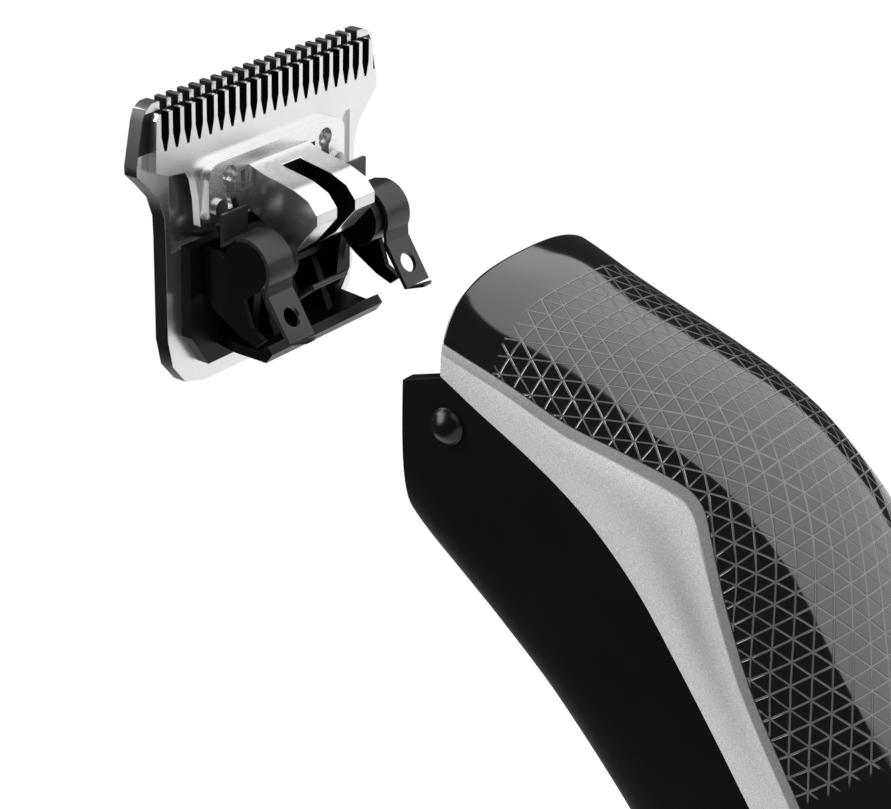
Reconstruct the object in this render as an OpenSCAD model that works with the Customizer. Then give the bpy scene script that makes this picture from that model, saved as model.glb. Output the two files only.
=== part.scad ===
// Cordless T-blade hair clipper with a pull-off blade head, in millimetres.
// +Z runs up the handle, -Y is the side the blade faces, and z = 0 is the flat tail.
// The head stands off its neck at rest, and slides home into it along release_way.

/* [Handle] */
// Height of the handle's tail-to-crown axis below the blade tips
head_height = 172; // [165:1:185]
// Half of the handle's width at the neck
neck_half_w = 14; // [13.5:0.1:15]
// Half of the handle's width at its widest
grip_half_w = 15.4; // [15:0.1:17]
// Thickness of the outer shells
shell_t = 1.4; // [1.2:0.1:1.5]
// Thickness of the side trims
trim_t = 0.7; // [0.5:0.1:0.8]

/* [Blade head] */
// Angle between the blade plane and the handle's axis
blade_tilt = 38; // [34:1:42]
// Width over the ends of the fixed blade
blade_w = 40; // [36:1:44]
// Number of teeth on each blade
tooth_count = 20; // [16:1:22]
// Distance from tooth to tooth
tooth_pitch = 1.75; // [1.6:0.05:1.8]
// Thickness of the fixed blade
fixed_t = 1.8; // [1.5:0.1:2]
// Thickness of the moving blade
cutter_t = 1; // [0.8:0.1:1]
// How far the head travels square to the blade on its way home
release_in = 28.5; // [28.2:0.1:28.8]
// How far the head drops along the blade on its way home
release_down = 4.3; // [4:0.1:4.5]

/* [Drive] */
// Diameter of the motor can
motor_d = 18; // [16:0.5:18.4]
// Length of the motor can
motor_l = 28; // [20:1:30]
// Offset of the drive pin from the shaft
eccentric = 0.5; // [0.3:0.05:0.5]
// Radius of the drive pin
drive_pin_r = 0.45; // [0.35:0.05:0.45]
// Width of the slot in the drive block
drive_slot_w = 3; // [3:0.1:3.4]

/* [Power] */
// Diameter of the battery cell
cell_d = 14; // [10:0.5:14.5]
// Length of the battery cell
cell_l = 50; // [44:1:50]
// Radius of the charging jack's bore
jack_r = 1.75; // [1.5:0.05:2]
// Depth of the charging jack's bore
jack_depth = 9; // [6:0.5:10]

/* [Hidden] */
$fn = 48;
eps = 0.01;
steel = "gainsboro";
black = "#17171a";
smoke = "#3a3a3e";

// Where the blade tips' middle stands at rest, on the fixed blade's inner face.
head_home = [0, -23.5, head_height];
// The thickness of the head's base, which lands on the neck.
base_t = 1.4;
// The head's way home, across and down the blade.
release_way = [0, release_in, -release_down];
// The neck's two front planes, measured square to the blade from head_home.
housing_front = release_way[1] + base_t + 0.1;
cover_front = housing_front + 4.8;
// The top of the neck's cheeks, along the blade from head_home.
neck_top = release_way[2] - 17.5;

// Outlines of the handle against height: [z, y] down the belly and the back.
belly_line = [[0, -14.4], [30, -15.2], [60, -15.6], [86, -16.9], [98.7, -18.7], [108.7, -21.4],
    [115, -23.3], [121, -24.9], [126, -25.3], [162, -25.6]];
back_line = [[0, 14.2], [30, 15.6], [60, 16.6], [90, 17.1], [101, 17.4], [107, 16.6], [112, 15.3],
    [117, 13], [122, 9.8], [127, 6.2], [133, 1.8], [139, -2.2], [150, -11.5], [162, -21]];
width_line = [[0, neck_half_w - 0.4], [20, neck_half_w + 0.4], [60, grip_half_w], [90, grip_half_w],
    [112, neck_half_w + 0.3], [125, neck_half_w], [162, neck_half_w]];
// The lower and upper edges of the side trims, which are also where the shells meet.
housing_seam = [[0, -1], [30, -0.6], [60, 0.1], [81, 0.6], [91, 0.9], [99, 0.8], [106, 0.4],
    [113, -0.9], [118, -2.5], [122.5, -4.4], [128.7, -7.4], [133.4, -9.5], [141, -13.2], [162, -22]];
cover_seam = [[0, -0.5], [30, -0.1], [45, 1.6], [60, 3.6], [80, 5.9], [93, 7.2], [100, 8.5], [107.5, 10.1],
    [110.5, 10.5], [113, 9.7], [118, 6], [123.5, 1.4], [129.7, -2.8], [135.6, -7], [141, -10.6], [162,
        -21.5]];
trim_foot_z = 33;
// The widest line of each section stands this far above the housing's seam.
seam_lift = 0.63;

shell_top_z = 156;
ring_count = 40;
ring_points = 36;
back_power = 2.5;
belly_power = 6;

// Drive and power parts, on the handle's own axis.
drive_y = -4.5;
motor_top_z = 117;
cam_z = 121;
cam_t = 4.5;
cam_r = 3.2;
shaft_r = 1;
bush_r = 3;
pin_top_z = 138.3;
cell_z = 22;
board_y = 6.5;
button_z = 66;
button_r = 4.2;
light_z = 56;
post_at = [for (z = [14, 80], x = [-9.4, 9.4]) [x, z]];
post_r = 2.1;
frame_y = 3.4;
frame_t = 1.6;

// The head's clips and their bosses, as [distance from the blade, distance along it].
boss_at = [7.6, -17.9];
boss_r = 2.9;
strap_t = 0.45;
clip_w = 4;
clip_x = 10.1;
screw_x = 9.3;
clip_hole_r = 1.15;
tab_lean = 35;
tab_l = 5.2;
pin_at = [-11.8, 128.7];
side_pin_r = 2;

// ---- Curves and lofts ----

// A smooth curve through [z, y] points (Catmull-Rom in y, linear in z).
function bracket_index(pts, z, i = 0) =
    i >= len(pts) - 2 || z < pts[i + 1][0] ? i : bracket_index(pts, z, i + 1);
function slope_at(pts, i) =
    i == 0 ? (pts[1][1] - pts[0][1]) / (pts[1][0] - pts[0][0])
    : i == len(pts) - 1 ? (pts[i][1] - pts[i - 1][1]) / (pts[i][0] - pts[i - 1][0])
    : (pts[i + 1][1] - pts[i - 1][1]) / (pts[i + 1][0] - pts[i - 1][0]);
function hermite(a, b, sa, sb, h, u) =
    (2 * u ^ 3 - 3 * u ^ 2 + 1) * a + (u ^ 3 - 2 * u ^ 2 + u) * h * sa
    + (3 * u ^ 2 - 2 * u ^ 3) * b + (u ^ 3 - u ^ 2) * h * sb;
function curve(pts, z) =
    let (i = bracket_index(pts, z), h = pts[i + 1][0] - pts[i][0], u = (z - pts[i][0]) / h)
    hermite(pts[i][1], pts[i + 1][1], slope_at(pts, i), slope_at(pts, i + 1), h, u);

function signed_power(v, p) = sign(v) * abs(v) ^ p;

// One level section of the handle, drawn in by inset: a rounded back over a boxy belly.
function section(z, inset) =
    let (w = curve(width_line, z) - inset,
         mid = curve(housing_seam, z) + seam_lift, back = curve(back_line, z) - inset - mid,
         belly = mid - curve(belly_line, z) - inset)
    [for (k = [0:ring_points - 1])
        let (a = 360 * k / ring_points, c = cos(a), s = sin(a), p = s > 0 ? back_power : belly_power)
        [w * signed_power(c, 2 / p), mid + (s > 0 ? back : belly) * signed_power(s, 2 / p), z]];

module loft(inset) {
    rings = [for (i = [0:ring_count]) section(shell_top_z * i / ring_count, inset)];
    points = [for (ring = rings) each ring];
    n = ring_points;
    sides = [for (i = [0:ring_count - 1], k = [0:n - 1])
        let (j = (k + 1) % n) [i * n + k, (i + 1) * n + k, (i + 1) * n + j, i * n + j]];
    bottom = [[for (k = [0:n - 1]) k]];
    top = [[for (k = [n - 1:-1:0]) ring_count * n + k]];
    polyhedron(points = points, faces = concat(sides, bottom, top), convexity = 8);
}

// Draws its children as one mesh.
module one_mesh() resize([0, 0, 0]) children();

// Runs a [y, z] outline across the whole width, or from x0 to x1.
module across(x0 = -30, x1 = 30)
    translate([x0, 0, 0]) rotate([90, 0, 90]) linear_extrude(x1 - x0) children();

// The seam's points, shifted by gap, on one shared grid of heights.
function seam_edge(seam, gap) =
    [for (i = [0:47]) let (z = -1 + (shell_top_z + 3) * i / 47) [curve(seam, max(z, 0)) + gap, z]];

// The side-view regions on the belly side and on the back side of a seam.
module belly_side(seam, gap = 0)
    polygon(concat(seam_edge(seam, -gap), [[-60, shell_top_z + 2], [-60, -1]]));
module back_side(seam, gap = 0)
    polygon(concat(seam_edge(seam, gap), [[60, shell_top_z + 2], [60, -1]]));

// ---- Frames ----

// Head frame: x across the blade, y square to it and into the neck, z along it to the tips.
module head_frame() translate(head_home) rotate([-blade_tilt, 0, 0]) children();

// Everything ahead of a front plane that stands d from the blade.
module ahead_of(d) head_frame() translate([-40, -80 + d, -90]) cube([80, 80, 160]);

// A [distance from blade, distance along it] outline, run across x0 to x1 in the head frame.
module head_across(x0, x1)
    translate([x0, 0, 0]) rotate([90, 0, 90]) linear_extrude(x1 - x0) children();

module mirrored_x() {
    children();
    mirror([1, 0, 0]) children();
}

// ---- Handle shells ----

module handle_cavity() loft(shell_t);

// Clears a shell below the cap that closes the tail.
module tail_cut() translate([0, 0, -1]) cube([60, 60, 6], center = true);

module button_hole(clear) translate([0, 0, button_z]) rotate([-90, 0, 0]) cylinder(r = button_r + clear,
    h = 30);

module lower_housing() color(black) one_mesh() difference() {
    union() {
        intersection() {
            loft(0);
            across() belly_side(housing_seam);
        }
        intersection() {
            loft(trim_t);
            across() belly_side(cover_seam, gap = 0.05);
        }
    }
    handle_cavity();
    ahead_of(housing_front);
    head_frame() translate([-40, -80 + cover_front, neck_top]) cube([80, 80, 60]);
    tail_cut();
    intersection() {
        ahead_of(cover_front);
        across() back_side(housing_seam);
    }
    for (side = [-1, 1])
        translate([side * (neck_half_w - 3), pin_at[0], pin_at[1]])
            rotate([0, side * 90, 0]) cylinder(r = side_pin_r + 0.08, h = 6);
}

module top_cover() color(smoke) one_mesh() difference() {
    intersection() {
        loft(0);
        across() back_side(cover_seam, gap = 0.05);
    }
    handle_cavity();
    ahead_of(cover_front);
    tail_cut();
    button_hole(0.15);
    translate([0, 0, light_z]) rotate([-90, 0, 0]) cylinder(r = 1.05, h = 30);
}

module trim(side) color(steel) one_mesh() difference() {
    intersection() {
        loft(0);
        across(side > 0 ? 2 : -30, side > 0 ? 30 : -2) difference() {
            belly_side(cover_seam);
            belly_side(housing_seam, gap = -0.05);
            translate([-30, -2]) square([60, trim_foot_z + 2]);
        }
    }
    loft(trim_t - 0.03);
    ahead_of(cover_front);
}
module trim_left() trim(-1);
module trim_right() trim(1);

module level_outline(z, inset) polygon([for (p = section(z, inset)) [p[0], p[1]]]);

module tail_cap() color(black) difference() {
    union() {
        linear_extrude(0.7) level_outline(2.4, 0.5);
        translate([0, 0, 0.7 - eps]) linear_extrude(1.25) level_outline(2.4, 0);
        translate([0, 0, 1.9]) linear_extrude(1.9) level_outline(3.8, shell_t + 0.15);
    }
    translate([0, 0, -1]) cylinder(r = 4.2, h = 6);
}

// ---- Handle insides ----

module charge_jack() color("dimgray") difference() {
    union() {
        translate([0, 0, 0.3]) cylinder(r = 4, h = 11);
        translate([-5, -5, 4.3]) cube([10, 10, 5]);
    }
    translate([0, 0, -1]) cylinder(r = jack_r, h = jack_depth + 1.3);
}

module battery_cell() color("steelblue") translate([0, drive_y, cell_z]) {
    cylinder(d = cell_d, h = cell_l);
    translate([0, 0, cell_l - eps]) cylinder(d = 5, h = 1);
}

module battery_contacts() color(steel) translate([0, drive_y, 0]) {
    translate([-4, -0.2, cell_z - 3.4]) cube([8, 0.4, 3.4]);
    translate([-4, -0.2, cell_z + cell_l + 1]) cube([8, 0.4, 4]);
}

module circuit_board() color("darkgreen") translate([-9, board_y, 16]) cube([18, 1.2, 68]);

module power_switch() color("dimgray") {
    translate([-3, board_y + 1.2, button_z - 3]) cube([6, 2.4, 6]);
    translate([0, board_y + 3.6 - eps, button_z]) rotate([-90, 0, 0]) cylinder(r = 1.4, h = 0.6);
}

// The light pipe over the charge light, flush with the cover.
module charge_light() color("white") translate([0, board_y + 1.2, light_z]) rotate([-90, 0, 0])
    cylinder(r = 0.9, h = 8.4);

module power_button() color(steel) translate([0, 0, button_z]) rotate([-90, 0, 0]) {
    translate([0, 0, 14.5]) cylinder(r = button_r, h = 2.8);
    translate([0, 0, 13.5]) cylinder(r = button_r + 0.8, h = 1.1);
    translate([0, 0, 11.6]) cylinder(r = 1.2, h = 2);
}

module motor_can() color(steel) translate([0, drive_y, motor_top_z - motor_l]) difference() {
    cylinder(d = motor_d, h = motor_l);
    translate([0, 0, motor_l - 3]) cylinder(r = bush_r, h = 4);
    translate([0, 0, 3]) cylinder(r = 3, h = motor_l);
}

module motor_bush() color("goldenrod") translate([0, drive_y, motor_top_z - 3]) difference() {
    cylinder(r = bush_r, h = 4.2);
    translate([0, 0, -1]) cylinder(r = shaft_r + 0.03, h = 7);
}

// The frame that carries the cell, the board and the motor, on four posts.
module inner_frame() color("#2b2b2e") difference() {
    union() {
        translate([-11.6, frame_y, 11.5]) cube([23.2, frame_t, 75.5]);
        translate([-9.4, drive_y, 84]) cube([18.8, frame_y - drive_y + frame_t, 3]);
        translate([0, drive_y, 84]) cylinder(d = motor_d + 1.6, h = 14);
        for (x = [-6.5, 6.5], z = [22, 74])
            translate([x, frame_y + frame_t - eps, z]) rotate([-90, 0, 0]) cylinder(r = 1.6,
                h = board_y - frame_y - frame_t);
    }
    translate([0, drive_y, motor_top_z - motor_l]) cylinder(d = motor_d + 0.02, h = 40);
    translate([0, drive_y, 80]) cylinder(r = 6, h = 20);
    for (p = post_at) translate([p[0], 0, p[1]]) rotate([-90, 0, 0]) cylinder(r = 1.1, h = 20);
}

// Posts on the housing's belly that the frame is screwed to.
module screw_posts() color(black) for (p = post_at) {
    foot = p[1] < 40 ? -11.8 : -14.1;
    translate([p[0], foot, p[1]]) rotate([-90, 0, 0]) difference() {
        cylinder(r = post_r, h = frame_y - foot);
        translate([0, 0, frame_y - foot - 8]) cylinder(r = 1, h = 9);
    }
}

module housing_screws() color("gray") for (p = post_at) translate([p[0], frame_y, p[1]]) rotate([-90, 0,
    0]) {
    translate([0, 0, -6]) cylinder(r = 0.99, h = 6 + frame_t);
    translate([0, 0, frame_t]) cylinder(r = 1.9, h = 1.2);
}

module motor_shaft() color(steel) translate([0, drive_y, motor_top_z - motor_l + 4])
    cylinder(r = shaft_r, h = cam_z + 3 - motor_top_z + motor_l - 4);

// The cam: a disc on the shaft, with the drive pin standing off its middle.
module drive_cam() color("dimgray") translate([0, drive_y, cam_z]) {
    difference() {
        cylinder(r = cam_r, h = cam_t);
        translate([0, 0, -1]) cylinder(r = shaft_r, h = 4);
    }
    translate([-eccentric, 0, cam_t - eps]) cylinder(r = drive_pin_r, h = pin_top_z - cam_z - cam_t);
}

// Domed pins in the neck's sides.
module side_pins() color(black) for (side = [-1, 1])
    translate([side * (neck_half_w - 1.3), pin_at[0], pin_at[1]]) rotate([0, side * 90, 0]) rotate_extrude()
        intersection() {
            union() {
                square([side_pin_r, 1.5]);
                translate([0, 0.38]) circle(r = 2.28);
            }
            square([side_pin_r, 4]);
        }

// A wall across the neck that the drive shaft comes through.
module neck_bulkhead() color(black) difference() {
    translate([0, 0, 119]) linear_extrude(1.4) level_outline(120.5, shell_t + 0.45);
    translate([0, drive_y, 110]) cylinder(r = shaft_r + 0.6, h = 20);
}

// ---- Blade head ----

// The gaps between teeth, as one row of slots that narrow to their roots.
module tooth_gaps(count, mouth, root, depth) {
    for (i = [0:count - 2])
        translate([(i - (count - 2) / 2) * tooth_pitch, 0])
            polygon([[-mouth / 2, 1], [mouth / 2, 1], [mouth / 2, -0.58 * depth], [root / 2, -depth],
                [-root / 2, -depth], [-mouth / 2, -0.58 * depth]]);
}

module upright(y0, y1) translate([0, y1, 0]) rotate([90, 0, 0]) linear_extrude(y1 - y0) children();

module fixed_outline() {
    half = blade_w / 2;
    side = [[half - 2.6, 0], [half - 1.6, -0.5], [half - 1.1, -1.6], [half, -6.4], [half, -7.4],
        [half - 1.6, -9], [half - 3.2, -10.8], [half - 4, -13], [half - 4.1, -15.6], [half - 4.1, -27.2],
        [half - 4.8, -30.4], [half - 6.8, -32.8], [half - 10, -33.6]];
    polygon(concat(side, [for (i = [len(side) - 1:-1:0]) [-side[i][0], side[i][1]]]));
}

module fixed_blade() color(steel) head_frame() difference() {
    upright(-fixed_t, 0) difference() {
        fixed_outline();
        tooth_gaps(tooth_count, 1.05, 0.4, 4.8);
        for (x = [-screw_x, screw_x]) translate([x, -22]) circle(r = 1.01);
    }
    for (side = [-1, 1]) translate([side * 11.6, 6, -17.2]) cylinder(r = 7, h = 9.4, $fn = 96);
}

module cutter_outline() {
    side = [[17.4, -1], [17.9, -1.6], [18.2, -7.2], [16.4, -8], [13, -8.4], [12.2, -9.6], [11.7, -12],
        [11.5, -15]];
    polygon(concat(side, [for (i = [len(side) - 1:-1:0]) [-side[i][0], side[i][1]]]));
}

module moving_blade() color(steel) head_frame() upright(0.02, cutter_t) difference() {
    cutter_outline();
    translate([0, -1]) tooth_gaps(tooth_count + 1, 1.15, 0.3, 4.2);
    for (x = [-9.9, 9.9]) translate([x, -13]) circle(r = 0.7);
}

// The rounded plate on the moving blade: two keyholes take the spring's ends.
module follower_plate() color(steel) head_frame() upright(cutter_t, cutter_t + 1.2) difference() {
    hull() for (x = [-9.6, 9.6], z = [-9.8, -13]) translate([x, z]) circle(r = 1.8, $fn = 32);
    for (side = [-1, 1]) {
        translate([side * 8, -9.9]) circle(r = 1.15);
        translate([side * 8 - 0.65, -13]) square([1.3, 3]);
        translate([side * 8, -13]) circle(r = 0.65);
        translate([side * 5.9, -11]) square([0.7, 2.4], center = true);
        translate([side * 9.9, -13]) circle(r = 0.7);
    }
}

// The forked nose that the drive pin works in.
module drive_block() color("whitesmoke") head_frame() difference() {
    head_across(-5, 5) polygon([[cutter_t + 1.2, -9.4], [4.5, -10.2], [8.2, -10.8], [10.4, -11.7], [11.6,
        -13.1],
        [11.6, -14.3], [8.8, -17.6], [6.4, -19.4], [4.6, -19.6], [5.6, -17.4], [5.4, -16],
            [cutter_t + 1.2, -14.6]]);
    translate([-drive_slot_w / 2, 4, -25]) cube([drive_slot_w, 12, 20]);
}

module follower_rivets() color("gray") head_frame() for (x = [-9.9, 9.9])
    translate([x, 0.4, -13]) rotate([-90, 0, 0]) {
        cylinder(r = 0.69, h = cutter_t + 0.8);
        translate([0, 0, cutter_t + 0.8]) cylinder(r = 1, h = 0.45);
    }

// The black guide that carries the clips, screwed to the fixed blade.
module guide_bracket() color(black) head_frame() difference() {
    union() {
        upright(0, base_t) polygon([[-13.6, -16.8], [13.6, -16.8], [13.6, -27.2], [11, -31],
            [-11, -31], [-13.6, -27.2]]);
        for (side = [-1, 1]) {
            head_across(side > 0 ? 11.35 : -12.05, side > 0 ? 12.05 : -11.35)
                polygon([[base_t - eps, -16.9], [4, -17.1], [9.4, -19.6], [7.3, -21.8], [8.3, -24.6],
                    [10.2, -25.6], [9, -26.6], [7, -25.9], [4, -24.2], [base_t - eps, -22.3]]);
            translate([side * 12.05, boss_at[0], boss_at[1]]) rotate([0, -side * 90, 0])
                cylinder(r = boss_r, h = 5.4);
            head_across(side * 7.2 - 0.6, side * 7.2 + 0.6)
                polygon([[base_t - eps, -17.6], [6, -18.2], [5.4, -21.6], [4.6, -29.2], [base_t - eps,
                    -28.8]]);
        }
        head_across(-9.6, 9.6) polygon([[base_t - eps, -28], [7, -28.4], [8.6, -27.4], [9.3, -28.2],
            [8.4, -29.4], [4, -29.4], [base_t - eps, -29]]);
        head_across(-7, 7) polygon([[base_t - eps, -21], [3.6, -21.4], [3.6, -22.2], [base_t - eps,
            -22.6]]);
        for (x = [-4.6, 0, 4.6])
            head_across(x - 0.5, x + 0.5)
                polygon([[base_t - eps, -22.4], [3.4, -22.4], [5.8, -28.4], [base_t - eps, -28.6]]);
    }
    for (x = [-screw_x, screw_x]) translate([x, -1, -22]) rotate([-90, 0, 0]) cylinder(r = 1.01, h = 4);
}

module blade_screws() color("gray") head_frame() for (x = [-screw_x, screw_x])
    translate([x, 0, -22]) rotate([-90, 0, 0]) {
        translate([0, 0, -fixed_t]) cylinder(r = 0.98, h = fixed_t + base_t);
        translate([0, 0, base_t]) cylinder(r = 1.3, h = 0.9);
    }

// One straight length of spring wire from a to b.
module wire(a, b, r = 0.35) {
    d = b - a;
    translate(a) rotate([0, acos(d[2] / norm(d)), atan2(d[1], d[0])]) cylinder(r = r, h = norm(d),
        $fn = 16);
}

// A wire form: a bow that the neck presses on, and two legs into the follower's keyholes.
module tension_spring() color(black) head_frame() {
    wire([-2.9, 9.2, -22.6], [2.9, 9.2, -22.6]);
    for (side = [-1, 1]) {
        wire([side * 2.6, 9.2, -22.6], [side * 4.6, 5.5, -26]);
        wire([side * 5, 2.6, -20.5], [side * 8, 2.6, -12.2]);
    }
}

// A bent strip: a flag against the bracket, a loop over the boss and a drilled tab with a foot.
module clip(side) color("#242427") head_frame() {
    outer = boss_r + 0.1 + strap_t;
    inner = boss_r + 0.1;
    x0 = side * clip_x - clip_w / 2;
    x1 = x0 + clip_w;
    tab_top = [boss_at[0] + inner * cos(20) + 0.1, boss_at[1] - inner * sin(20) - 1.9];
    tab_end = tab_top + tab_l * [sin(tab_lean), -cos(tab_lean)];
    across_tab = strap_t * [cos(tab_lean), sin(tab_lean)];
    foot_end = tab_end + 2.8 * [cos(20), sin(20)];
    head_across(x0, x1) union() {
        translate([4.3, -16]) square([strap_t, 3.4]);
        polygon([[4.3, -16.4], [4.3, -15.8], [boss_at[0] - 2.2, boss_at[1] + outer - 0.9],
            [boss_at[0] - 1.6, boss_at[1] + outer - 0.35], [boss_at[0], boss_at[1] + outer],
            [boss_at[0], boss_at[1] + inner], [boss_at[0] - 1.4, boss_at[1] + inner - 0.22],
            [boss_at[0] - 2.2, boss_at[1] + inner - 0.9]]);
        difference() {
            translate(boss_at) circle(r = outer);
            translate(boss_at) circle(r = inner);
            translate([boss_at[0] - 10, boss_at[1] - 5]) square([10, 10]);
            translate([boss_at[0] - 1, boss_at[1] - 6]) square([6, 4.8]);
        }
        polygon([[boss_at[0] + inner * cos(21), boss_at[1] - inner * sin(21)],
            [boss_at[0] + outer * cos(21), boss_at[1] - outer * sin(21)], tab_top + across_tab + [0, 0.3],
            tab_top]);
    }
    difference() {
        head_across(x0, x1) polygon([tab_top, tab_top + across_tab + [0, 0.3], tab_end + across_tab,
            tab_end]);
        translate([side * clip_x, (tab_top[0] + tab_end[0]) / 2, (tab_top[1] + tab_end[1]) / 2])
            rotate([tab_lean - 90, 0, 0]) rotate([90, 0, 0]) rotate([90, 0, 0])
                cylinder(r = clip_hole_r, h = 6, center = true);
    }
    head_across(x1 - 1.4, x1) polygon([tab_end, tab_end + across_tab, foot_end + [0, strap_t], foot_end]);
}
module clip_left() clip(-1);
module clip_right() clip(1);

lower_housing();
top_cover();
trim_left();
trim_right();
tail_cap();
charge_jack();
battery_cell();
battery_contacts();
circuit_board();
power_switch();
charge_light();
motor_can();
motor_bush();
inner_frame();
screw_posts();
housing_screws();
power_button();
side_pins();
neck_bulkhead();
motor_shaft();
drive_cam();
fixed_blade();
guide_bracket();
blade_screws();
tension_spring();
clip_left();
clip_right();
moving_blade();
follower_plate();
drive_block();
follower_rivets();
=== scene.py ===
"""Looks for the hair clipper: materials, detailed shells and head, light and camera."""
import math

import bmesh
import bpy
from mathutils import Matrix, Vector


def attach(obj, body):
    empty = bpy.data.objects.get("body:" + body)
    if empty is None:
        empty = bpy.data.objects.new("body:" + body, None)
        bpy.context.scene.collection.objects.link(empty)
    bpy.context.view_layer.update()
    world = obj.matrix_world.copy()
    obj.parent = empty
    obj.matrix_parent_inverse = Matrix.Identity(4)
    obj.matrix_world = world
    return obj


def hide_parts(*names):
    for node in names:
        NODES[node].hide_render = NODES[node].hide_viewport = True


MM = 0.001
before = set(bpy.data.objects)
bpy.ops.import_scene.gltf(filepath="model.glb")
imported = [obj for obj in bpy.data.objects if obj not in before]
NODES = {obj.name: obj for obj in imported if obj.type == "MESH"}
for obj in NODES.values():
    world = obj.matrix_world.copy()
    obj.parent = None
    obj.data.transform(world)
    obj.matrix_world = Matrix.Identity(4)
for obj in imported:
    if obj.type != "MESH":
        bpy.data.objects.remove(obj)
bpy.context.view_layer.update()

# ---- The same curves as the CAD, in millimetres ----

HEAD_HOME = (0.0, -23.5, 172.0)
TILT = math.radians(38)
HOUSING_FRONT, COVER_FRONT, NECK_TOP = 30.0, 34.8, -21.8
SHELL_T, TRIM_T, NECK_HALF, GRIP_HALF = 1.4, 0.7, 14.0, 15.4
BACK_POWER, BELLY_POWER, SEAM_LIFT = 2.5, 6.0, 0.63
TAIL_Z, TRIM_FOOT_Z = 2.0, 33.0
TOP_Z = 150.0                   # above every front plane of the shells
SEAM_GAP = 0.05
BUTTON_HOLE = (66.0, 4.35)      # height and radius of the holes in the cover
LIGHT_HOLE = (56.0, 1.05)
SLOT_HALF, SLOT_FLOOR = 1.6, 4.0

# ---- Surface details that the CAD leaves plain, and places of painted shade, in millimetres ----

LATTICE_PITCH = 1.95
LATTICE_FOOT_Z = 81.0           # the lattice ends here towards the tail
LATTICE_MARGIN = 6.0            # smooth strip along the cover's front edge
LATTICE_EDGE = 0.12
GROOVE_FLOOR, GROOVE_EDGE = 0.045, 0.125
# painted shade on the trim: a dark band standing for a bevel along the cover
TRIM_BEVEL_SHADE_WIDTH, TRIM_BEVEL_SHADE_EDGE = 1.0, 0.15
TRIM_BEVEL_SHADE_END = (140.0, 14.0)  # the painted bevel shade thins out to this height, over this length
# painted shade on the trim: a soft hollow inside the elbow
HOLLOW_SHADE_Z, HOLLOW_SHADE_LENGTH = 103.0, 13.0
HOLLOW_SHADE_MID, HOLLOW_SHADE_WIDTH = 0.52, 0.2
# The fixed blade is cut across at these two heights; the inner faces of its teeth between them get
# painted shade.
TOOTH_ROOT_T, TOOTH_TIP_T = -5.2, -0.9

BELLY = [(0, -14.4), (30, -15.2), (60, -15.6), (86, -16.9), (98.7, -18.7), (108.7, -21.4),
         (115, -23.3), (121, -24.9), (126, -25.3), (162, -25.6)]
BACK = [(0, 14.2), (30, 15.6), (60, 16.6), (90, 17.1), (101, 17.4), (107, 16.6), (112, 15.3),
        (117, 13), (122, 9.8), (127, 6.2), (133, 1.8), (139, -2.2), (150, -11.5), (162, -21)]
WIDTH = [(0, NECK_HALF - 0.4), (20, NECK_HALF + 0.4), (60, GRIP_HALF), (90, GRIP_HALF),
         (112, NECK_HALF + 0.3), (125, NECK_HALF), (162, NECK_HALF)]
HOUSING_SEAM = [(0, -1), (30, -0.6), (60, 0.1), (81, 0.6), (91, 0.9), (99, 0.8), (106, 0.4),
                (113, -0.9), (118, -2.5), (122.5, -4.4), (128.7, -7.4), (133.4, -9.5),
                (141, -13.2), (162, -22)]
COVER_SEAM = [(0, -0.5), (30, -0.1), (45, 1.6), (60, 3.6), (80, 5.9), (93, 7.2), (100, 8.5),
              (107.5, 10.1), (110.5, 10.5), (113, 9.7), (118, 6), (123.5, 1.4), (129.7, -2.8),
              (135.6, -7), (141, -10.6), (162, -21.5)]


def curve(pts, z):
    """A smooth curve through (z, y) points, as the CAD draws it."""
    i = 0
    while i < len(pts) - 2 and z >= pts[i + 1][0]:
        i += 1

    def slope(k):
        a, b = pts[max(k - 1, 0)], pts[min(k + 1, len(pts) - 1)]
        return (b[1] - a[1]) / (b[0] - a[0])

    h = pts[i + 1][0] - pts[i][0]
    u = (z - pts[i][0]) / h
    return ((2 * u**3 - 3 * u**2 + 1) * pts[i][1] + (u**3 - 2 * u**2 + u) * h * slope(i)
            + (3 * u**2 - 2 * u**3) * pts[i + 1][1] + (u**3 - u**2) * h * slope(i + 1))


def section_point(z, angle, inset=0.0):
    """A point on the handle's skin at height z; angle runs from +X over the back."""
    c, s = math.cos(angle), math.sin(angle)
    power = BACK_POWER if s > 0 else BELLY_POWER
    w = curve(WIDTH, z) - inset
    mid = curve(HOUSING_SEAM, z) + SEAM_LIFT
    reach = curve(BACK, z) - inset - mid if s > 0 else mid - curve(BELLY, z) - inset
    x = w * math.copysign(abs(c) ** (2 / power), c)
    y = mid + reach * math.copysign(abs(s) ** (2 / power), s)
    return Vector((x, y, z))


def head_coords(p):
    """(square to the blade, along the blade) of a point."""
    y, z = p.y - HEAD_HOME[1], p.z - HEAD_HOME[2]
    return (math.cos(TILT) * y - math.sin(TILT) * z, math.sin(TILT) * y + math.cos(TILT) * z)


def head_point(x, n, t):
    """A head-frame point in metres in the row's frame."""
    return Vector((x, math.cos(TILT) * n + math.sin(TILT) * t + HEAD_HOME[1],
                   -math.sin(TILT) * n + math.cos(TILT) * t + HEAD_HOME[2])) * MM


def angle_at(z, seam_y, inset, back_half):
    """The angle on the +X side where the section reaches seam_y."""
    mid = curve(HOUSING_SEAM, z) + SEAM_LIFT
    dy = seam_y - mid
    if dy >= 0:
        reach = curve(BACK, z) - inset - mid
        return math.asin(min(1.0, (dy / reach) ** (BACK_POWER / 2)))
    reach = mid - curve(BELLY, z) - inset
    return -math.asin(min(1.0, (-dy / reach) ** (BELLY_POWER / 2)))


# ---- Mesh helpers ----

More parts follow.
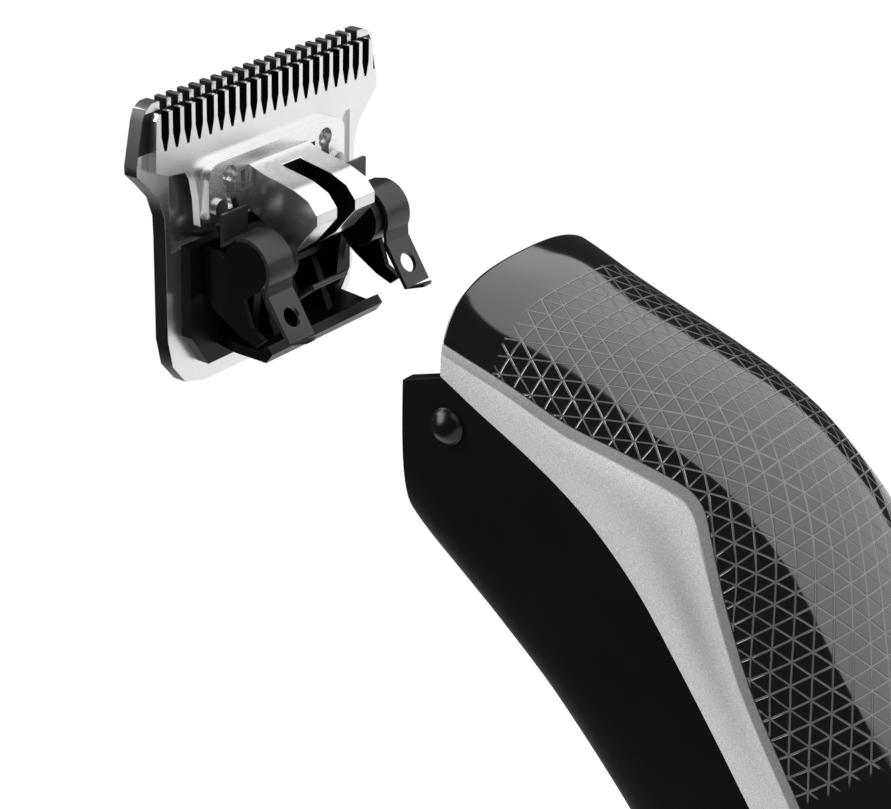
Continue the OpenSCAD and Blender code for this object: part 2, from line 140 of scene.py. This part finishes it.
def make_object(name, bm, mat):
    mesh = bpy.data.meshes.new(name)
    bmesh.ops.recalc_face_normals(bm, faces=bm.faces)
    bm.to_mesh(mesh)
    bm.free()
    obj = bpy.data.objects.new(name, mesh)
    bpy.context.scene.collection.objects.link(obj)
    mesh.materials.append(mat.mat)
    for poly in mesh.polygons:
        poly.use_smooth = True
    return obj


def apply_modifiers(obj):
    depsgraph = bpy.context.evaluated_depsgraph_get()
    mesh = bpy.data.meshes.new_from_object(obj.evaluated_get(depsgraph))
    obj.modifiers.clear()
    obj.data = mesh


def shade_by_angle(obj, degrees):
    """Smooth shading with sharp edges above an angle."""
    bm = bmesh.new()
    bm.from_mesh(obj.data)
    for e in bm.edges:
        e.smooth = not (len(e.link_faces) == 2 and e.calc_face_angle(0) > math.radians(degrees))
    for f in bm.faces:
        f.smooth = True
    bm.to_mesh(obj.data)
    bm.free()


def head_axes():
    """The head frame's directions, square to the blade and along it."""
    return (Vector((0, math.cos(TILT), -math.sin(TILT))),
            Vector((0, math.sin(TILT), math.cos(TILT))))


def soften(node, body, mat, width, cuts=(), shadow=None):
    """A copy of a CAD node with its edges rounded, which stands for the node.

    width is the rounding in millimetres. cuts are the places along the blade where the
    mesh is cut across. shadow is a test of (centre, normal) in head coordinates, with
    the material for the faces that it picks."""
    bm = bmesh.new()
    bm.from_mesh(NODES[node].data)
    bmesh.ops.remove_doubles(bm, verts=bm.verts, dist=2e-6)
    n_axis, t_axis = head_axes()
    for t in cuts:
        bmesh.ops.bisect_plane(bm, geom=bm.verts[:] + bm.edges[:] + bm.faces[:],
                               plane_co=head_point(0, 0, t), plane_no=t_axis)
    for face in bm.faces:
        face.material_index = 0
        # faces that the shadow test picks get the darker material, as painted shade
        if shadow:
            c = face.calc_center_median() / MM
            n, t = head_coords(c)
            normal = (face.normal.x, face.normal.dot(n_axis), face.normal.dot(t_axis))
            face.material_index = int(shadow[0]((c.x, n, t), normal))
    bmesh.ops.dissolve_limit(bm, angle_limit=math.radians(0.6), verts=bm.verts, edges=bm.edges,
                             delimit={"MATERIAL"})
    obj = make_object(node + ".piece", bm, mat)
    if shadow:
        obj.data.materials.append(shadow[1].mat)
    bevel = obj.modifiers.new("bevel", "BEVEL")
    bevel.width = width * MM
    bevel.segments = 2
    bevel.limit_method = "ANGLE"
    bevel.angle_limit = math.radians(28)
    apply_modifiers(obj)
    shade_by_angle(obj, 40)
    weighted = obj.modifiers.new("weighted", "WEIGHTED_NORMAL")
    weighted.keep_sharp = True
    weighted.weight = 90
    apply_modifiers(obj)
    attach(obj, body)
    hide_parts(node)
    return obj


# ---- Materials ----

class Mat:
    """A small builder for node materials."""

    def __init__(self, name, base, rough, metallic=0.0, **sockets):
        self.mat = bpy.data.materials.new(name)
        self.mat.use_nodes = True
        self.nodes = self.mat.node_tree.nodes
        self.links = self.mat.node_tree.links
        self.bsdf = next(n for n in self.nodes if n.type == "BSDF_PRINCIPLED")
        self.set("Base Color", (*base, 1))
        self.set("Roughness", rough)
        self.set("Metallic", metallic)
        for key, value in sockets.items():
            self.set(key.replace("_", " "), value)

    def set(self, socket, value):
        self.bsdf.inputs[socket].default_value = value

    def node(self, kind, **props):
        n = self.nodes.new(kind)
        for key, value in props.items():
            setattr(n, key, value)
        return n

    def link(self, a, b):
        self.links.new(a, b)

    def math(self, op, *values):
        n = self.node("ShaderNodeMath", operation=op)
        for i, v in enumerate(values):
            if isinstance(v, (int, float)):
                n.inputs[i].default_value = v
            else:
                self.link(v, n.inputs[i])
        return n.outputs[0]

    def coords(self, scale=(1, 1, 1)):
        tex = self.node("ShaderNodeTexCoord")
        mapping = self.node("ShaderNodeMapping")
        mapping.inputs["Scale"].default_value = scale
        self.link(tex.outputs["Object"], mapping.inputs["Vector"])
        return mapping.outputs["Vector"]

    def noise(self, vector, scale, detail=3, rough=0.5):
        n = self.node("ShaderNodeTexNoise")
        n.inputs["Scale"].default_value = scale
        n.inputs["Detail"].default_value = detail
        n.inputs["Roughness"].default_value = rough
        self.link(vector, n.inputs["Vector"])
        return n.outputs["Fac"]

    def ramp(self, fac, stops):
        n = self.node("ShaderNodeValToRGB")
        r = n.color_ramp
        while len(r.elements) < len(stops):
            r.elements.new(0.5)
        for e, (pos, col) in zip(r.elements, stops):
            e.position = pos
            e.color = (*col, 1)
        self.link(fac, n.inputs["Fac"])
        return n.outputs["Color"]

    def grey_ramp(self, fac, a, b):
        return self.ramp(fac, [(0.3, (a, a, a)), (0.7, (b, b, b))])

    def bump(self, height, strength, distance):
        n = self.node("ShaderNodeBump")
        n.inputs["Strength"].default_value = strength
        n.inputs["Distance"].default_value = distance
        self.link(height, n.inputs["Height"])
        self.link(n.outputs["Normal"], self.bsdf.inputs["Normal"])


def fixed_shadow(c, normal):
    """The blade's sides, and the flanks and inner faces of its teeth, which get painted shade."""
    inner_face = TOOTH_ROOT_T < c[2] < TOOTH_TIP_T and abs(c[0]) < 18.2 and normal[1] > 0.5
    return abs(normal[0]) > 0.5 or inner_face


def moving_shadow(c, normal):
    """The flanks of the moving teeth, which get painted shade."""
    return c[2] > -5.6 and abs(c[0]) < 17.4 and abs(normal[0]) > 0.5


def slot_shadow(c, normal):
    """The inside of the drive block's slot, which gets painted shade."""
    return abs(c[0]) < SLOT_HALF and (abs(normal[0]) > 0.5 or abs(c[1] - SLOT_FLOOR) < 0.05)


def plastic(name, base, rough, grain=9000, grain_depth=0.00001, spread=0.06, **extra):
    """Moulded plastic with a fine spark-eroded grain and slightly uneven gloss."""
    m = Mat(name, base, rough, **extra)
    v = m.coords()
    m.link(m.grey_ramp(m.noise(v, 90, 3), rough - spread, rough + spread), m.bsdf.inputs["Roughness"])
    m.bump(m.noise(v, grain, 2), 0.25, grain_depth)
    return m


def steel(name, base, rough, axis_scale=(300, 9000, 9000), spread=0.03, depth=0.0000005):
    """Ground steel: fine parallel marks along one direction."""
    m = Mat(name, base, rough, 1.0)
    v = m.coords(axis_scale)
    marks = m.noise(v, 1.0, 4, 0.6)
    m.link(m.grey_ramp(marks, rough - spread, rough + spread), m.bsdf.inputs["Roughness"])
    tone = m.ramp(m.noise(m.coords(), 60, 3), [(0.3, tuple(c * 0.92 for c in base)), (0.7, base)])
    m.link(tone, m.bsdf.inputs["Base Color"])
    m.bump(marks, 0.3, depth)
    return m


def cover_material():
    """Smoked gloss with a triangular lattice engraved over the grip."""
    m = Mat("cover_gloss", (0.02, 0.02, 0.021), 0.09, Specular_IOR_Level=1.0)
    uv = m.node("ShaderNodeUVMap", uv_map="skin")
    sep = m.node("ShaderNodeSeparateXYZ")
    m.link(uv.outputs["UV"], sep.inputs[0])
    u, v = sep.outputs[0], sep.outputs[1]

    def family(cu, cv, offset=0.0):
        """The distance to the nearest of a family of parallel lines."""
        s = m.math("ADD", m.math("MULTIPLY", u, cu / LATTICE_PITCH),
                   m.math("MULTIPLY", v, cv / LATTICE_PITCH))
        f = m.math("FRACT", m.math("ADD", s, offset + 100.0))
        return m.math("MULTIPLY", m.math("ABSOLUTE", m.math("SUBTRACT", f, 0.5)), LATTICE_PITCH)

    k = math.sqrt(3) / 2
    across = family(0, 1, 0.5)
    left = family(k, 0.5)
    right = family(-k, 0.5)
    nearest = m.math("MINIMUM", across, m.math("MINIMUM", left, right))
    mask_attr = m.node("ShaderNodeAttribute", attribute_name="lattice")
    groove = m.node("ShaderNodeMapRange", interpolation_type="SMOOTHSTEP")
    groove.inputs["From Min"].default_value = GROOVE_FLOOR
    groove.inputs["From Max"].default_value = GROOVE_EDGE
    groove.inputs["To Min"].default_value = 1.0
    groove.inputs["To Max"].default_value = 0.0
    m.link(nearest, groove.inputs["Value"])
    cut = m.math("MULTIPLY", groove.outputs["Result"], mask_attr.outputs["Fac"])
    tone = m.ramp(cut, [(0.0, (0.004, 0.004, 0.0043)), (1.0, (0.1, 0.1, 0.102))])
    m.link(tone, m.bsdf.inputs["Base Color"])
    soft = m.noise(m.coords(), 120, 3)
    rough = m.math("ADD", m.math("MULTIPLY", soft, 0.03), m.math("MULTIPLY", cut, 0.07))
    m.link(m.math("ADD", rough, 0.06), m.bsdf.inputs["Roughness"])
    m.bump(m.math("MULTIPLY", cut, -1.0), 0.4, 0.00008)
    return m


housing_mat = plastic("housing_satin", (0.003, 0.003, 0.0032), 0.5, Specular_IOR_Level=0.07)
cover_mat = cover_material()
black_mat = plastic("black_nylon", (0.003, 0.003, 0.0032), 0.34, grain=6000, Specular_IOR_Level=0.14)
dome_mat = plastic("dome_gloss", (0.004, 0.004, 0.0042), 0.22, Specular_IOR_Level=0.3)
inner_mat = plastic("inner_plastic", (0.03, 0.03, 0.033), 0.5)
spring_mat = plastic("black_spring", (0.045, 0.045, 0.047), 0.34, metallic=0.6, Specular_IOR_Level=0.3)
drive_mat = plastic("drive_plastic", (0.66, 0.66, 0.67), 0.2, metallic=0.85)
lens_mat = plastic("frosted_lens", (0.75, 0.75, 0.78), 0.4)
blade_mat = steel("blade_steel", (0.74, 0.74, 0.75), 0.3)
# painted shade: a darker copy of the blade steel, put on blade sides, tooth flanks and the drive
# block's slot
painted_shade_steel_mat = steel("painted_shade_steel", (0.05, 0.05, 0.053), 0.4)
plate_mat = steel("plate_steel", (0.8, 0.8, 0.81), 0.28)
screw_mat = steel("screw_steel", (0.5, 0.5, 0.51), 0.3)
can_mat = steel("can_steel", (0.55, 0.55, 0.56), 0.35)
brass_mat = steel("bush_brass", (0.72, 0.5, 0.22), 0.35)
cell_mat = plastic("cell_sleeve", (0.05, 0.12, 0.28), 0.35)
board_mat = plastic("board_green", (0.01, 0.08, 0.03), 0.35)
button_mat = steel("button_metal", (0.6, 0.6, 0.61), 0.3)


def trim_material():
    """Silver paint with a fine metallic sparkle, with painted shade in its hollow and on its bevel."""
    m = Mat("trim_silver", (0.52, 0.52, 0.53), 0.42, 0.25)
    v = m.coords()
    grain = m.noise(v, 9500, 2, 0.8)
    tone = m.ramp(grain, [(0.3, (0.42, 0.42, 0.425)), (0.5, (0.63, 0.63, 0.635)),
                          (0.7, (0.88, 0.88, 0.89))])
    # painted shade: the shade attribute multiplies the paint on the bevel band and in the hollow
    shade = m.node("ShaderNodeAttribute", attribute_name="shade")
    mix = m.node("ShaderNodeMix", data_type="RGBA", blend_type="MULTIPLY")
    mix.inputs["Factor"].default_value = 1.0
    m.link(tone, mix.inputs["A"])
    m.link(m.ramp(shade.outputs["Fac"], [(0.0, (0.2, 0.2, 0.2)), (1.0, (1, 1, 1))]),
           mix.inputs["B"])
    m.link(mix.outputs["Result"], m.bsdf.inputs["Base Color"])
    m.link(m.grey_ramp(grain, 0.36, 0.5), m.bsdf.inputs["Roughness"])
    m.bump(grain, 0.25, 0.000012)
    return m


trim_mat = trim_material()

# ---- Shells: grids on the handle's skin ----

def top_cut(column, limit, z_lo, z_hi):
    """The height where a column of the skin meets a front plane."""
    for _ in range(40):
        z = (z_lo + z_hi) / 2
        if limit(column(z)) > 0:
            z_lo = z
        else:
            z_hi = z
    return z_lo


def panel(name, angles, limit, z_foot, columns, rows, inset, thickness, mat, rim=0.18):
    """A shell panel. angles(z, u, inset) gives the section angle for u from 0 to 1 across it."""
    bm = bmesh.new()
    bm.loops.layers.uv.new("skin")
    grid = []
    for i in range(columns + 1):
        u = i / columns

        def column(z, u=u):
            return section_point(z, angles(z, u, inset), inset)

        z_top = top_cut(column, limit, z_foot, TOP_Z)
        line = []
        for j in range(rows + 1):
            z = z_foot + (z_top - z_foot) * (1 - (1 - j / rows) ** 1.15)
            outer = column(z)
            inner = section_point(z, angles(z, u, inset + thickness), inset + thickness)
            line.append((bm.verts.new(outer * MM), bm.verts.new(inner * MM)))
        grid.append(line)
    for i in range(columns):
        for j in range(rows):
            a, b, c, d = grid[i][j], grid[i + 1][j], grid[i + 1][j + 1], grid[i][j + 1]
            bm.faces.new((a[0], b[0], c[0], d[0]))
            bm.faces.new((d[1], c[1], b[1], a[1]))
    for i in range(columns):
        for j in (0, rows):
            bm.faces.new((grid[i][j][0], grid[i][j][1], grid[i + 1][j][1], grid[i + 1][j][0]))
    for j in range(rows):
        for i in (0, columns):
            bm.faces.new((grid[i][j][0], grid[i][j + 1][0], grid[i][j + 1][1], grid[i][j][1]))
    obj = make_object(name, bm, mat)
    bevel = obj.modifiers.new("rim", "BEVEL")
    bevel.width = rim * MM
    bevel.segments = 3
    bevel.limit_method = "ANGLE"
    bevel.angle_limit = math.radians(50)
    apply_modifiers(obj)
    shade_by_angle(obj, 45)
    return obj


def drill(obj, z, radius):
    """A round hole through the back of a shell at height z."""
    bm = bmesh.new()
    place = Matrix.Translation(Vector((0, 18, z)) * MM) @ Matrix.Rotation(math.pi / 2, 4, "X")
    bmesh.ops.create_cone(bm, cap_ends=True, segments=64, radius1=radius * MM, radius2=radius * MM,
                          depth=20 * MM, matrix=place)
    tool = make_object("drill", bm, cover_mat)
    hole = obj.modifiers.new("hole", "BOOLEAN")
    hole.operation = "DIFFERENCE"
    hole.solver = "EXACT"
    hole.object = tool
    apply_modifiers(obj)
    bpy.data.objects.remove(tool)


def cover_angles(z, u, inset):
    a = angle_at(z, curve(COVER_SEAM, z) + SEAM_GAP, inset, True)
    return a + (math.pi - 2 * a) * u


def housing_angles(z, u, inset):
    a = angle_at(z, curve(HOUSING_SEAM, z), inset, False)
    return a - (math.pi + 2 * a) * u


def belly_limit(p):
    n, t = head_coords(p)
    return min(n - HOUSING_FRONT, NECK_TOP - t)


def back_limit(p):
    return head_coords(p)[0] - COVER_FRONT


def lattice_uv(obj):
    """Skin coordinates in millimetres: across from the spine, and along it."""
    mesh = obj.data
    layer = mesh.uv_layers["skin"]
    steps = [i * 0.5 for i in range(0, 320)]
    run = [0.0]
    for a, b in zip(steps, steps[1:]):
        run.append(run[-1] + math.hypot(b - a, curve(BACK, b) - curve(BACK, a)))
    arc_cache = {}

    def arc(zk):
        if zk not in arc_cache:
            pts = [section_point(zk, math.pi / 2 - k * math.pi / 160) for k in range(0, 101)]
            total = [0.0]
            for a, b in zip(pts, pts[1:]):
                total.append(total[-1] + math.hypot(b.x - a.x, b.y - a.y))
            arc_cache[zk] = (pts, total)
        return arc_cache[zk]

    values = []
    for vert in mesh.vertices:
        p = vert.co / MM
        z = min(max(p.z, 0.0), 159.0)
        k = int(z / 0.5)
        along = run[k] + (run[k + 1] - run[k]) * (z / 0.5 - k)
        # lean the rows with the spine, so that they run square across the curved back
        lean = curve(BACK, min(z + 0.5, 160)) - curve(BACK, max(z - 0.5, 0))
        drop = curve(BACK, z) - p.y
        along -= drop * lean / math.sqrt(1 + lean * lean)
        pts, total = arc(round(z * 2) / 2)
        x = abs(p.x)
        lo, hi = 0, len(pts) - 1
        while hi - lo > 1:
            mid = (lo + hi) // 2
            if pts[mid].x < x:
                lo = mid
            else:
                hi = mid
        span = max(pts[hi].x - pts[lo].x, 1e-6)
        across = total[lo] + (total[hi] - total[lo]) * min(max((x - pts[lo].x) / span, 0), 1)
        values.append((math.copysign(across, p.x), along))
    for poly in mesh.polygons:
        for li in poly.loop_indices:
            layer.data[li].uv = values[mesh.loops[li].vertex_index]
    attr = mesh.attributes.new("lattice", "FLOAT", "POINT")
    for i, vert in enumerate(mesh.vertices):
        p = vert.co / MM
        behind = head_coords(p)[0] - COVER_FRONT - LATTICE_MARGIN
        front = min(max(behind / LATTICE_EDGE + 0.5, 0), 1)
        foot = min(max((p.z - LATTICE_FOOT_Z) / LATTICE_EDGE + 0.5, 0), 1)
        attr.data[i].value = front * foot


cover = panel("top_cover.shell", cover_angles, back_limit, TAIL_Z, 120, 420, 0.0, SHELL_T,
              cover_mat, 0.22)
drill(cover, *BUTTON_HOLE)
drill(cover, *LIGHT_HOLE)
shade_by_angle(cover, 45)
lattice_uv(cover)
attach(cover, "handle")
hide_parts("top_cover")

housing = panel("lower_housing.shell", housing_angles, belly_limit, TAIL_Z, 120, 200, 0.0, SHELL_T,
                housing_mat, 0.2)
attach(housing, "handle")
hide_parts("lower_housing")


def trim_shade(obj):
    """Marks painted shade for the paint: a dark band standing for a bevel along the cover, and a soft
    hollow inside the elbow.
    """
    attr = obj.data.attributes.new("shade", "FLOAT", "POINT")
    for i, vert in enumerate(obj.data.vertices):
        p = vert.co / MM
        to_cover = curve(COVER_SEAM, p.z) - p.y
        to_housing = p.y - curve(HOUSING_SEAM, p.z)
        slope = curve(COVER_SEAM, p.z + 0.5) - curve(COVER_SEAM, p.z - 0.5)
        gap = to_cover / math.sqrt(1 + slope * slope)
        bevel = 1 - min(max((gap - TRIM_BEVEL_SHADE_WIDTH) / TRIM_BEVEL_SHADE_EDGE + 0.5, 0), 1)
        bevel *= min(max((TRIM_BEVEL_SHADE_END[0] - p.z) / TRIM_BEVEL_SHADE_END[1], 0), 1) ** 0.5
        width = max(to_cover + to_housing, 0.1)
        across = (to_housing / width - HOLLOW_SHADE_MID) / HOLLOW_SHADE_WIDTH
        along = (p.z - HOLLOW_SHADE_Z) / HOLLOW_SHADE_LENGTH
        hollow = math.exp(-across * across - along * along)
        # painted shade: the value drops by up to 0.42 in the hollow and 0.78 on the bevel band
        attr.data[i].value = (1 - 0.42 * hollow) * (1 - 0.78 * bevel)


def right_trim_angles(z, u, inset):
    lo = angle_at(z, curve(HOUSING_SEAM, z) + SEAM_GAP, inset, False)
    hi = angle_at(z, curve(COVER_SEAM, z), inset, True)
    return lo + (hi - lo) * u


def left_trim_angles(z, u, inset):
    return math.pi - right_trim_angles(z, u, inset)


for node, trim_angles in (("trim_right", right_trim_angles), ("trim_left", left_trim_angles)):
    trim = panel(node + ".strip", trim_angles, back_limit, TRIM_FOOT_Z, 40, 300, 0.0, TRIM_T - 0.05,
                 trim_mat, 0.1)
    trim_shade(trim)
    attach(trim, "handle")
    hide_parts(node)

# ---- Nodes with a rounded copy ----

for node, body, mat, slot, width in (
    ("tail_cap", "handle", inner_mat, "inner_plastic", 0.3),
    ("guide_bracket", "head", black_mat, "black_nylon", 0.14),
    ("clip_left", "left_clip", spring_mat, "spring_steel", 0.06),
    ("clip_right", "right_clip", spring_mat, "spring_steel", 0.06),
    ("follower_plate", "cutter", plate_mat, "steel", 0.18),
    ("power_button", "button", button_mat, "button", 0.3),
    ("side_pins", "handle", dome_mat, "inner_plastic", 0.05),
):
    soften(node, body, mat, width)
# painted shade: the slot's walls and floor get the dark steel
soften("drive_block", "cutter", drive_mat, 0.12, shadow=(slot_shadow, painted_shade_steel_mat))
# painted shade on the fixed blade's sides and on the inner faces of its teeth
soften("fixed_blade", "head", blade_mat, 0.1, cuts=(TOOTH_ROOT_T, TOOTH_TIP_T),
       shadow=(fixed_shadow, painted_shade_steel_mat))
# painted shade on the flanks of the moving teeth
soften("moving_blade", "cutter", blade_mat, 0.05, shadow=(moving_shadow, painted_shade_steel_mat))

# ---- The rest of the CAD nodes, which only get a material ----

for node, mat in (
    ("charge_jack", inner_mat), ("battery_cell", cell_mat), ("battery_contacts", can_mat),
    ("circuit_board", board_mat), ("power_switch", inner_mat), ("charge_light", lens_mat),
    ("motor_can", can_mat), ("motor_bush", brass_mat), ("inner_frame", inner_mat),
    ("screw_posts", inner_mat), ("housing_screws", screw_mat), ("neck_bulkhead", inner_mat),
    ("motor_shaft", can_mat), ("drive_cam", inner_mat), ("blade_screws", screw_mat),
    ("tension_spring", spring_mat), ("follower_rivets", screw_mat),
):
    obj = NODES[node]
    obj.data.materials.clear()
    obj.data.materials.append(mat.mat)

# ---- Stage, light and camera ----

def floor_material():
    m = Mat("floor_white", (0.12, 0.12, 0.12), 0.95, Specular_IOR_Level=0.0)
    v = m.coords()
    m.link(m.ramp(m.noise(v, 3, 2), [(0.3, (0.11, 0.11, 0.11)), (0.7, (0.13, 0.13, 0.13))]),
           m.bsdf.inputs["Base Color"])
    m.set("Emission Color", (1, 1, 1, 1))
    m.set("Emission Strength", 1.0)
    return m


bm = bmesh.new()
# It reaches away from the cover's side, so that the gloss doesn't mirror it.
bmesh.ops.create_grid(bm, x_segments=1, y_segments=1, size=1.2,
                      matrix=Matrix.Translation((-1.05, -1.05, 0)))
floor = make_object("floor", bm, floor_material())

world = bpy.data.worlds.new("studio")
bpy.context.scene.world = world
world.use_nodes = True
wn, wl = world.node_tree.nodes, world.node_tree.links
wn.clear()
out = wn.new("ShaderNodeOutputWorld")
mix = wn.new("ShaderNodeMixShader")
path = wn.new("ShaderNodeLightPath")
dim = wn.new("ShaderNodeBackground")
dim.inputs["Color"].default_value = (1, 1, 1, 1)
dim.inputs["Strength"].default_value = 0.06
bright = wn.new("ShaderNodeBackground")
bright.inputs["Color"].default_value = (1, 1, 1, 1)
bright.inputs["Strength"].default_value = 1.0
wl.new(path.outputs["Is Camera Ray"], mix.inputs["Fac"])
wl.new(dim.outputs[0], mix.inputs[1])
wl.new(bright.outputs[0], mix.inputs[2])
wl.new(mix.outputs[0], out.inputs["Surface"])

FOCUS = Vector((0, -0.005, 0.135))


def area(name, direction, distance, size, power):
    """A rectangular light, size metres wide and high, that faces the focus."""
    light = bpy.data.lights.new(name, "AREA")
    light.shape = "RECTANGLE"
    light.size, light.size_y = size
    light.energy = power
    obj = bpy.data.objects.new(name, light)
    bpy.context.scene.collection.objects.link(obj)
    obj.location = FOCUS + Vector(direction).normalized() * distance
    obj.rotation_euler = (FOCUS - obj.location).to_track_quat("-Z", "Y").to_euler()


area("key", (-0.36, 0.86, 0.36), 0.8, (1.95, 1.35), 14.5)
area("fill_right", (0.8, -0.3, 0.95), 1.0, (0.6, 0.8), 11.5)
area("overhead", (0.1, -0.4, 1.0), 2.6, (1.2, 1.2), 24.0)

cam = bpy.data.cameras.new("camera")
cam.lens = 105.0505
cam.sensor_width = 36
cam.clip_start = 0.01
camera = bpy.data.objects.new("camera", cam)
bpy.context.scene.collection.objects.link(camera)
right = Vector((-0.5965, 0.6468, -0.4753)).normalized()
back = Vector((0.7332, 0.6800, 0.0050)).normalized()
up = back.cross(right).normalized()
right = up.cross(back).normalized()
camera.matrix_world = Matrix((
    (right.x, up.x, back.x, 0.2045), (right.y, up.y, back.y, 0.16605),
    (right.z, up.z, back.z, 0.1320), (0, 0, 0, 1)))
bpy.context.scene.camera = camera
bpy.context.scene.view_settings.view_transform = "Standard"
